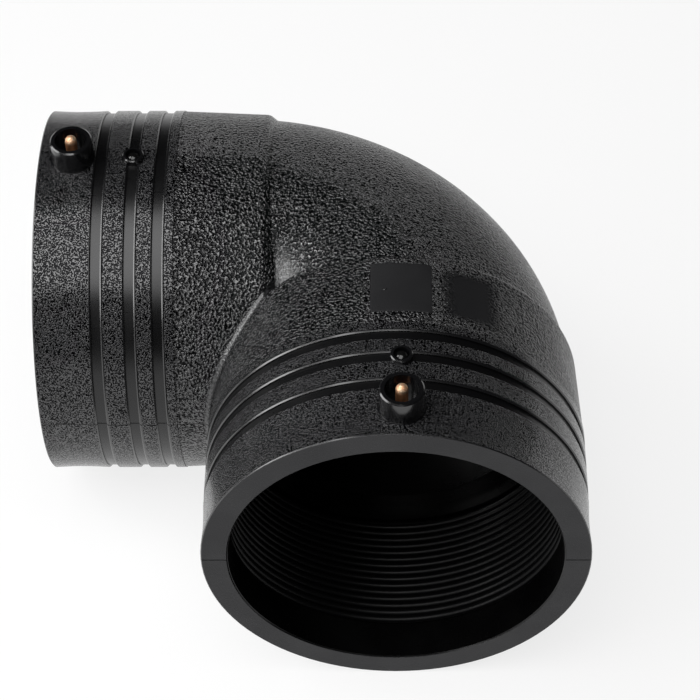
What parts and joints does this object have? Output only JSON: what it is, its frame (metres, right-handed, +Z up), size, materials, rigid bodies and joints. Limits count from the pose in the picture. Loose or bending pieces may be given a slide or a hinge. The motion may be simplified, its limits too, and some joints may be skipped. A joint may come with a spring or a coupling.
{
  "type": "electrofusion elbow",
  "caption": "Ninety degree electrofusion elbow for plastic pressure pipe, with a heating coil, shrouded terminal pin and fusion indicator at each socket.",
  "frame": {"origin": "on the floor, under the middle of the elbow's box, with the elbow lying on its sockets", "axes": "-X out of the left socket's mouth, -Y out of the front socket's mouth, +Z up, the way the terminal pins point"},
  "size_m": [0.1868, 0.1868, 0.1382],
  "materials": {
    "black_polyethylene": "charcoal black, pebble grained on the bend and sleeves, fine sand grain on the lands, smooth in the grooves and bores",
    "wire_coating": "smooth black coating on the heating wire",
    "brass_pin": "turned brass, slightly dull",
    "indicator_plastic": "glossy black"
  },
  "bodies": {
    "root": {"elbow_body": "black_polyethylene", "heating_wire": "wire_coating", "left_terminal_pin": "brass_pin", "front_terminal_pin": "brass_pin", "left_fusion_indicator": "indicator_plastic", "front_fusion_indicator": "indicator_plastic"}
  },
  "joints": []
}
